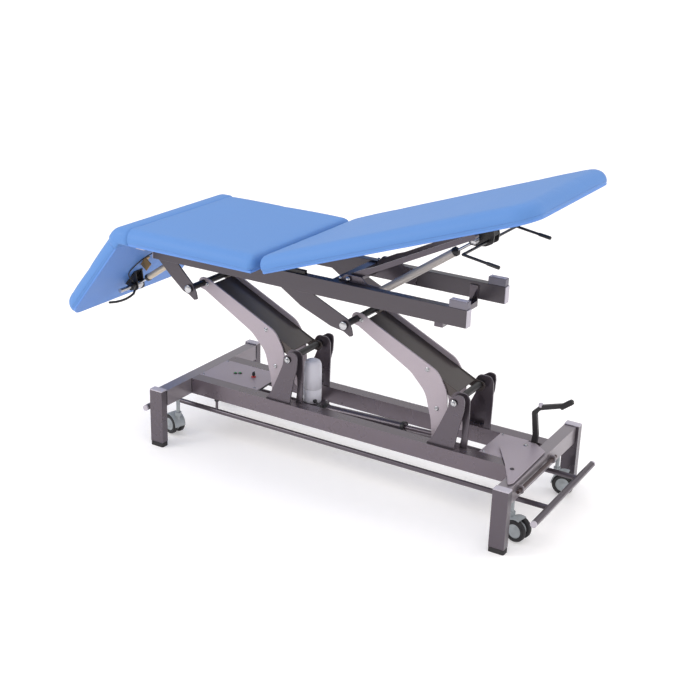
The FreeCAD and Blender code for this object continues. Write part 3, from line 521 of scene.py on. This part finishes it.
# ------------------------------------------------------------------ casters
TYRE = [(0.024, 0.0), (0.0335, 0.0), (0.0362, 0.0012), (0.0375, 0.0042), (0.0375, 0.0128), (0.0362, 0.0158),
        (0.0335, 0.017), (0.031, 0.017), (0.0295, 0.0155), (0.024, 0.0155)]
HUB = [(0.0045, 0.001), (0.0285, 0.001), (0.0285, 0.0135), (0.026, 0.0150), (0.021, 0.0140), (0.012, 0.0146),
       (0.0105, 0.0165), (0.0, 0.0172)]
CORE = 0.0080
for joint in frame["joints"]:
    if not joint["name"].startswith("roll_"):
        continue
    corner = joint["name"][5:]
    hub, axle = Vector(joint["pos_m"]), Vector(joint["axis"]).normalized()
    tyres, hubs = bmesh.new(), bmesh.new()
    for side in (1, -1):
        add_lathe(tyres, TYRE, hub + axle * side * CORE, axle * side, 56)
        add_lathe(hubs, HUB, hub + axle * side * CORE, axle * side, 40)
    tyre = piece("caster_%s_tyres" % corner, tyres, "tyre_black", "wheels_" + corner)
    disc = piece("caster_%s_hubs" % corner, hubs, "caster_grey", "wheels_" + corner)
    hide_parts("caster_%s_wheels" % corner)
    stem = PIVOT["swivel_" + corner]
    back = (Vector((stem.x, stem.y, hub.z)) - hub).normalized()
    start = math.pi / 2 if axle.cross(Vector((0, 0, 1))).dot(back) > 0 else -math.pi / 2
    hood = bmesh.new()
    place = frame_of(axle)
    up = place.inverted() @ Vector((0, 0, 1))
    rear = place.inverted() @ back
    a_up, a_back = math.atan2(up.y, up.x), math.atan2(rear.y, rear.x)
    turn = (a_back - a_up + math.pi) % (2 * math.pi) - math.pi
    shell = [(0.0388, -0.0230), (0.0412, -0.0230), (0.0420, -0.019), (0.0420, 0.019), (0.0412, 0.0230),
             (0.0388, 0.0230), (0.0388, -0.0230)]
    add_lathe(hood, shell, hub, axle, 22, turn * 1.25, a_up - turn * 0.22)
    piece("caster_%s_hood" % corner, hood, "caster_grey", "caster_" + corner, edge=0.0006)

# ------------------------------------------------------------------ bolts, caps and small fittings
FAR = (1, -1)
bright = bmesh.new()
for name in ("lift_left_arm", "lift_right_arm"):
    low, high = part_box("lower_pivot_shafts")
    for side in FAR:
        add_bolt(bright, Vector((PIVOT[name].x, high.y * side, PIVOT[name].z)), (0, side, 0), 0.0075, 0.005, "hex")
piece("lower_pivot_bolts", bright, "bright_steel", "base")
bright = bmesh.new()
low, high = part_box("upper_pivot_shafts")
for x in (PIVOT["upper_frame_level"].x, PIVOT["upper_frame_level"].x + 0.65):
    for side in FAR:
        spot = Vector((x, high.y * side, PIVOT["upper_frame_level"].z))
        cap = [(0, 0), (0.0135, 0), (0.0145, 0.001), (0.0145, 0.003), (0.013, 0.0042), (0.0, 0.0048)]
        add_lathe(bright, cap, spot, (0, side, 0), 36)
for side in FAR:
    add_bolt(bright, Vector((PIVOT["strut_tilt"].x, 0.137 * side, PIVOT["strut_tilt"].z)), (0, side, 0), 0.006, 0.004)
    add_bolt(bright, Vector((PIVOT["strut_tilt"].x - 0.034, 0.130 * side, PIVOT["strut_tilt"].z - 0.004)),
             (0, side, 0), 0.0045, 0.003)
piece("upper_pivot_caps", bright, "bright_steel", "upper_frame")
for side_name, foot in (("left", "lift_left_arm"), ("right", "lift_right_arm")):
    bolts = bmesh.new()
    for x, z in ((-387, 190), (-128, 70), (-86, -60)):
        for side in FAR:
            spot = PIVOT[foot] + Vector((x / 1000, 0.074 * side, z / 1000))
            add_bolt(bolts, spot, (0, side, 0), 0.0055, 0.0035, "socket")
    piece(side_name + "_arm_bolts", bolts, "bright_steel", side_name + "_arm")

# plugs in the open ends of the upper rails
low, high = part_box("upper_rail_near")
plugs = bmesh.new()
RAIL_WALL, PLUG = 0.003, 0.0035
for y0, y1 in ((low.y, high.y), (-high.y, -low.y)):
    for x, out in ((high.x, 1), (low.x, -1)):
        face = sorted((x, x + out * PLUG))
        add_box(plugs, (face[0], y0 + 0.0006, low.z + 0.0006), (face[1], y1 - 0.0006, high.z - 0.0006))
        body_x = sorted((x, x - out * 0.018))
        add_box(plugs, (body_x[0], y0 + RAIL_WALL + 0.0003, low.z + RAIL_WALL + 0.0003),
                (body_x[1], y1 - RAIL_WALL - 0.0003, high.z - RAIL_WALL - 0.0003))
piece("upper_rail_plugs", plugs, "light_cap", "upper_frame", edge=0.0012)

# pale wear strip on the stop blocks
low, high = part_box("rail_stop_blocks")
strips = bmesh.new()
for y0, y1 in ((low.y, low.y + 0.026), (high.y - 0.026, high.y)):
    add_box(strips, (low.x + 0.003, y0 + 0.003, high.z - 0.001), (high.x - 0.003, y1 - 0.003, high.z + 0.0015))
    for x in (low.x + 0.014, high.x - 0.014):
        add_lathe(strips, [(0, 0), (0.004, 0), (0.0044, 0.0006), (0.003, 0.0016), (0, 0.0016)],
                  Vector((x, (y0 + y1) / 2, high.z + 0.0014)), (0, 0, 1), 20)
piece("stop_block_faces", strips, "light_cap", "upper_frame", edge=0.001)

# motor cover with a domed top, drawn in place of the plain cylinder
low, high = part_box("actuator_motor")
motor_r, motor_h = (high.x - low.x) / 2, high.z - low.z
shell = [(0, 0), (motor_r - 0.002, 0), (motor_r, 0.002), (motor_r, motor_h * 0.30), (motor_r - 0.0012, motor_h * 0.305),
         (motor_r - 0.0012, motor_h * 0.325), (motor_r, motor_h * 0.33), (motor_r - 0.001, motor_h * 0.72)]
for k in range(9):
    a = math.pi / 2 * k / 8
    shell.append(((motor_r - 0.001) * math.cos(a) * 0.42 + (motor_r - 0.001) * 0.58 * (1 - (k / 8) ** 6),
                  motor_h * (0.80 + 0.2 * math.sin(a))))
shell.append((0, motor_h))
cover = bmesh.new()
add_lathe(cover, shell, Vector(((low.x + high.x) / 2, (low.y + high.y) / 2, low.z)), (0, 0, 1), 56)
motor = piece("motor_cover", cover, "motor_plastic", "actuator_body")
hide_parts("actuator_motor")
gland = bmesh.new()
spot = Vector(((low.x + high.x) / 2 + motor_r * 0.72, (low.y + high.y) / 2 - motor_r * 0.62, low.z + 0.012))
add_lathe(gland, [(0, -0.006), (0.0075, -0.006), (0.0075, 0.004), (0.0055, 0.010), (0, 0.010)], spot, (1, -0.8, 0.1), 20)
add_tube(gland, smooth_path([spot, spot + Vector((0.03, -0.02, 0.0)), spot + Vector((0.07, -0.018, -0.022)),
                             spot + Vector((0.16, 0.006, -0.03)), spot + Vector((0.22, 0.012, -0.03))]), 0.0033, 10)
piece("motor_cable", gland, "black_plastic", "actuator_body")
screws = bmesh.new()
gear_left = (low.x + high.x) / 2 - 0.020
for dx in (0.008, 0.064):
    for dy in (-0.026, 0.026):
        spot = Vector((gear_left + dx, (low.y + high.y) / 2 + dy, low.z))
        add_bolt(screws, spot, (0, 0, 1), 0.0028, 0.002, "socket")
piece("gearbox_screws", screws, "bright_steel", "actuator_body")
collar = bmesh.new()
axis = Vector((-PIVOT["actuator_tilt"].x + PIVOT["lift_right_arm"].x - 0.068, 0, 0.024)).normalized()
root = Vector((PIVOT["actuator_tilt"].x, (low.y + high.y) / 2, PIVOT["actuator_tilt"].z))
for s, r in ((0.091, 0.0205), (0.408, 0.0195)):
    add_lathe(collar, [(0.0182, 0), (r, 0), (r + 0.0008, 0.002), (r + 0.0008, 0.012), (r, 0.014), (0.0182, 0.014)],
              root + axis * s, axis, 40)
piece("actuator_collars", collar, "black_plastic", "actuator_body")

# control panel: lamp bezels and lenses, key, a black tube along the edge as painted shade for the gap there, screws
low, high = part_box("indicator_lamps")
lenses, bezels = bmesh.new(), bmesh.new()
for x, y in ((low.x + 0.004, low.y + 0.004), (high.x - 0.004, high.y - 0.004)):
    spot = Vector((x, y, low.z))
    add_lathe(bezels, [(0.0046, 0), (0.0075, 0), (0.0075, 0.0016), (0.006, 0.003), (0.0046, 0.003)], spot, (0, 0, 1), 28)
    add_lathe(lenses, [(0.0045, 0)] + [(0.0045 * math.cos(a), 0.0028 + 0.0026 * math.sin(a))
                                       for a in (math.pi / 2 * k / 6 for k in range(7))], spot, (0, 0, 1), 28)
lamp = piece("lamp_lenses", lenses, "green_lens", "base")
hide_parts("indicator_lamps")
piece("lamp_bezels", bezels, "black_plastic", "base")
low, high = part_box("key_switch")
middle = (low + high) / 2
knob = bmesh.new()
add_lathe(knob, [(0, 0.0), (0.0034, 0.0), (0.0034, 0.006), (0.0062, 0.0075), (0.0062, 0.0135), (0.005, 0.0155), (0, 0.0155)],
          Vector((middle.x, middle.y, low.z)), (0, 0, 1), 24)
add_box(knob, (middle.x - 0.0016, middle.y - 0.0062, low.z + 0.009), (middle.x + 0.0016, middle.y + 0.0062, high.z))
key = piece("key_bow", knob, "black_plastic", "key", edge=0.0006)
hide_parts("key_switch")
low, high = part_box("control_panel")
fit = bmesh.new()
for x in (low.x + 0.012, high.x - 0.02):
    for y in (low.y + 0.010, high.y - 0.010):
        add_bolt(fit, Vector((x, y, high.z)), (0, 0, 1), 0.0030, 0.0018, "socket")
low2, high2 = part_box("mechanism_cover")
for x in (low2.x + 0.012,):
    for y in (low2.y + 0.010, high2.y - 0.010):
        add_bolt(fit, Vector((x, y, high2.z)), (0, 0, 1), 0.0030, 0.0018, "socket")
add_bolt(fit, at(616, 30, 223), (0, 0, 1), 0.0055, 0.0035, "hex")
piece("cover_screws", fit, "bright_steel", "base")
# painted shade: a black tube laid along the panel's edge where the gap between panel and tower lies in shadow
edge_shadow_tube = bmesh.new()
edge_x = high.x + 0.004
add_tube(edge_shadow_tube, smooth_path([(edge_x - 0.02, low.y + 0.004, high.z - 0.02), (edge_x, low.y + 0.010, high.z - 0.004),
                             (edge_x + 0.001, low.y + 0.045, high.z + 0.0005), (edge_x, 0, high.z),
                             (edge_x + 0.004, 0.032, high.z - 0.006), (edge_x + 0.02, 0.045, high.z - 0.03)]), 0.0032, 12)
piece("panel_edge_shadow_tube", edge_shadow_tube, "black_plastic", "base")

# grommet set in the hood
hood_low, hood_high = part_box("mechanism_hood")
hole = bmesh.new()
add_lathe(hole, [(0.004, 0), (0.0068, 0), (0.0068, 0.0016), (0.0055, 0.0022), (0.004, 0.0022), (0.004, 0)],
          at(650, -157, 223), (0, 0, 1), 24)
piece("hood_grommet", hole, "black_plastic", "base")

# gas springs: collars at the cylinder mouths
def spring_collar(name, mouth, direction, radius, body, look="black_plastic"):
    bm = bmesh.new()
    add_lathe(bm, [(0.0058, -0.002), (radius + 0.0012, -0.002), (radius + 0.0016, 0.0), (radius + 0.0016, 0.010),
                   (radius * 0.8, 0.014), (0.0058, 0.014)], mouth, direction, 36)
    return piece(name, bm, look, body)


LONG_AXIS = (at(402, 0, 901) - at(20, 0, 634)).normalized()
spring_collar("long_spring_collar", at(20, 0, 634) + LONG_AXIS * 0.372, LONG_AXIS, 0.014, "long_gas_body")
HEAD_AXIS = (at(-972, -50, 497) - at(-768, -50, 639)).normalized()
spring_collar("head_spring_collar", at(-768, -50, 639) + HEAD_AXIS * 0.178, HEAD_AXIS, 0.012, "head_gas_body")

# clamp block and valve head on the long section's spring bracket
clamp = bmesh.new()
add_box(clamp, (0.668, -0.0165, -0.052), (0.716, 0.0165, -0.016), LONG)
piece("spring_clamp_block", clamp, "black_plastic", "long_section", edge=0.002)
ribs = bmesh.new()
profile = [(0, 0)]
for k in range(7):
    profile += [(0.0125, 0.001 + k * 0.004), (0.0125, 0.003 + k * 0.004), (0.0112, 0.0035 + k * 0.004),
                (0.0112, 0.0045 + k * 0.004)]
profile += [(0, 0.029)]
add_lathe(ribs, profile, LONG @ Vector((0.652, -0.051, -0.050)), (0, 1, 0), 32)
piece("spring_valve_head", ribs, "bright_steel", "long_section")

# hand grips on the release levers
low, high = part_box("release_lever")
grips = bmesh.new()
tip, root = at(570, 0, 890), LONG @ Vector((0.6905, 0, -0.063))
run = (tip - root).normalized()
for side in FAR:
    end = Vector((tip.x, 0.200 * side, tip.z))
    add_lathe(grips, [(0, 0.002), (0.0045, 0.002), (0.0060, 0.0005), (0.0063, -0.004), (0.0060, -0.040), (0.0047, -0.043)],
              end, run, 24)
piece("release_lever_grips", grips, "black_plastic", "long_release")

# head part: clip, stay plate and release cable
clip = bmesh.new()
add_box(clip, (-0.0, 0, 0), (0.038, 0.012, 0.006), Matrix.Translation(at(-754, -306, 737)))
piece("cushion_clip", clip, "light_cap", "upper_frame", edge=0.0015)
plate = bmesh.new()
add_box(plate, (-0.196, -0.066, -0.030), (-0.158, -0.062, 0.005), HEAD)
add_box(plate, (-0.196, -0.066, 0.001), (-0.158, -0.040, 0.005), HEAD)
piece("head_stay_plate", plate, "zinc_yellow", "head_section", edge=0.0008)
line = bmesh.new()
add_tube(line, smooth_path([HEAD @ Vector((-0.262, -0.088, -0.020)), HEAD @ Vector((-0.235, -0.110, 0.001)),
                            HEAD @ Vector((-0.190, -0.105, 0.002)), HEAD @ Vector((-0.150, -0.075, 0.001)),
                            HEAD @ Vector((-0.110, -0.055, -0.010))]), 0.0022, 10)
piece("head_release_cable", line, "black_plastic", "head_section")

# ribbed rubber on the caster pedal
pedal = PIVOT["caster_pedal_press"]
sleeve = bmesh.new()
a, b = pedal + Vector((0.086, 0.072, 0.180)), pedal + Vector((0.121, 0.072, 0.2075))
run = (b - a).normalized()
length = (b - a).length
profile = [(0, -0.002)]
count = 8
for k in range(count):
    s0 = length * k / count
    profile += [(0.0098, s0), (0.0098, s0 + length / count * 0.6), (0.0086, s0 + length / count * 0.7),
                (0.0086, s0 + length / count * 0.95)]
profile += [(0.009, length + 0.002), (0, length + 0.004)]
add_lathe(sleeve, profile, a, run, 28)
piece("pedal_grip", sleeve, "pad_rubber", "pedal")
stub = bmesh.new()
add_lathe(stub, [(0.0072, 0), (0.0078, 0.001), (0.0078, 0.010), (0.006, 0.0125), (0, 0.0125)],
          pedal + Vector((0.016, 0.072, 0.164)), (0, 0, 1), 28)
piece("pedal_stub_cap", stub, "light_cap", "pedal")


# weld beads along the visible joints
def bead(bm, a, b, radius=0.0022):
    a, b = Vector(a), Vector(b)
    count = max(3, int((b - a).length / 0.005))
    pts = [a.lerp(b, k / count) + Vector([random.uniform(-1, 1) * radius * 0.12 for _ in range(3)])
           for k in range(count + 1)]
    add_tube(bm, pts, radius, 8)


beads = bmesh.new()
low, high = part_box("crossbars")
wide = 0.044
for sx in (-1, 1):
    for sy in (-1, 1):
        y = 0.280 * sy
        for x in (0.653, 0.697):
            bead(beads, at(sx * x * 1000, y * 1000, 160), at(sx * x * 1000, y * 1000, 214))
        for y1 in (87, 135):
            bead(beads, at(sx * 653, sy * y1, 160), at(sx * 653, sy * y1, 214))
for pivot in ("lift_left_arm", "lift_right_arm"):
    x = (PIVOT[pivot].x - SHIFT) * 1000
    for y, x0, x1 in ((118, -88, 5), (124, -88, 5), (88, 19, 39), (94, 19, 39)):
        for side in FAR:
            bead(beads, at(x + x0, side * y, 217), at(x + x1, side * y, 217), 0.0018)
piece("base_welds", beads, "weld_bead", "base")
beads = bmesh.new()
for x0, y, z in ((-772, 129, 702), (-64, 129, 712), (330, 123, 652)):
    for side in FAR:
        bead(beads, at(x0 + 1, side * y, z), at(x0 + 29, side * y, z))
for side in FAR:
    bead(beads, at(-772, side * 153, 657.5), at(-695, side * 153, 657.5), 0.0018)
    bead(beads, at(-240, side * 153, 657.5), at(-122, side * 153, 657.5), 0.0018)
    bead(beads, at(-30, side * 129, 719), at(68, side * 129, 719), 0.0016)
piece("upper_welds", beads, "weld_bead", "upper_frame")

# ------------------------------------------------------------------ floor, light, camera
bm = bmesh.new()
add_box(bm, (-60, -60, -0.02), (60, 60, -0.0002))
floor_mesh = bpy.data.meshes.new("floor")
bm.to_mesh(floor_mesh)
bm.free()
floor = bpy.data.objects.new("floor", floor_mesh)
scene.collection.objects.link(floor)
FLOOR_GLOW = 0.27
pale = material("pale_floor", (0.94, 0.925, 0.925), 0.6, 0.0, 0.01, 1, 40, 0.0, rough_vary=0.02)
pale.node_tree.nodes["Principled BSDF"].inputs["Emission Color"].default_value = (1, 0.99, 0.99, 1)
pale.node_tree.nodes["Principled BSDF"].inputs["Emission Strength"].default_value = FLOOR_GLOW
floor_mesh.materials.append(pale)
world = bpy.data.worlds.new("studio")
scene.world = world
world.use_nodes = True
links = world.node_tree.links
room = world.node_tree.nodes["Background"]
room.inputs["Color"].default_value = (1.0, 0.985, 0.985, 1)
room.inputs["Strength"].default_value = 1.12
mirror = world.node_tree.nodes.new("ShaderNodeBackground")
paper = world.node_tree.nodes.new("ShaderNodeBackground")
ways = world.node_tree.nodes.new("ShaderNodeTexCoord")
split = world.node_tree.nodes.new("ShaderNodeSeparateXYZ")
rise = world.node_tree.nodes.new("ShaderNodeMapRange")
for label, value in (("From Min", 0.0), ("From Max", 0.9), ("To Min", 0.5), ("To Max", 1.4)):
    rise.inputs[label].default_value = value
links.new(ways.outputs["Generated"], split.inputs["Vector"])
links.new(split.outputs["Z"], rise.inputs["Value"])
links.new(rise.outputs["Result"], mirror.inputs["Strength"])
ray = world.node_tree.nodes.new("ShaderNodeLightPath")
by_gloss = world.node_tree.nodes.new("ShaderNodeMixShader")
by_camera = world.node_tree.nodes.new("ShaderNodeMixShader")
links.new(ray.outputs["Is Glossy Ray"], by_gloss.inputs[0])
links.new(room.outputs[0], by_gloss.inputs[1])
links.new(mirror.outputs[0], by_gloss.inputs[2])
links.new(ray.outputs["Is Camera Ray"], by_camera.inputs[0])
links.new(by_gloss.outputs[0], by_camera.inputs[1])
links.new(paper.outputs[0], by_camera.inputs[2])
links.new(by_camera.outputs[0], world.node_tree.nodes["World Output"].inputs["Surface"])
paper.inputs["Color"].default_value = (1.0, 1.0, 1.0, 1)


def softbox(name, place, target, size, power, colour=(1, 1, 1)):
    data = bpy.data.lights.new(name, "AREA")
    data.shape = "RECTANGLE"
    data.size, data.size_y = size
    data.energy = power
    data.color = colour
    lamp = bpy.data.objects.new(name, data)
    scene.collection.objects.link(lamp)
    lamp.location = place
    lamp.rotation_mode = "QUATERNION"
    lamp.rotation_quaternion = (Vector(target) - Vector(place)).to_track_quat("-Z", "Y")


softbox("overhead", (0.2, 0.3, 3.6), (0.1, 0, 0.4), (3.2, 2.4), 8)
softbox("key_left", (-2.6, -2.8, 2.6), (0, 0, 0.6), (1.6, 1.6), 44, (1, 0.99, 0.97))
softbox("rim_right", (3.2, 1.8, 2.2), (0.3, 0, 0.5), (1.2, 1.8), 14)

AZIMUTH, ELEVATION, ROLL = (math.radians(a) for a in (30.41, 21.23, 1.89))
lens_back = Vector((math.sin(AZIMUTH) * math.cos(ELEVATION), -math.cos(AZIMUTH) * math.cos(ELEVATION), math.sin(ELEVATION)))
right = Vector((math.cos(AZIMUTH), math.sin(AZIMUTH), 0))
up = lens_back.cross(right)
cam_x = right * math.cos(ROLL) + up * math.sin(ROLL)
cam_y = up * math.cos(ROLL) - right * math.sin(ROLL)
camera_data = bpy.data.cameras.new("camera")
camera_data.sensor_width = 36
camera_data.lens = 63.15
camera = bpy.data.objects.new("camera", camera_data)
scene.collection.objects.link(camera)
camera.matrix_world = Matrix.Translation(at(1975, -3460, 1979)) @ Matrix((cam_x, cam_y, lens_back)).transposed().to_4x4()
scene.camera = camera
scene.view_settings.view_transform = "Standard"
scene.view_settings.look = "None"
scene.view_settings.exposure = 0.0
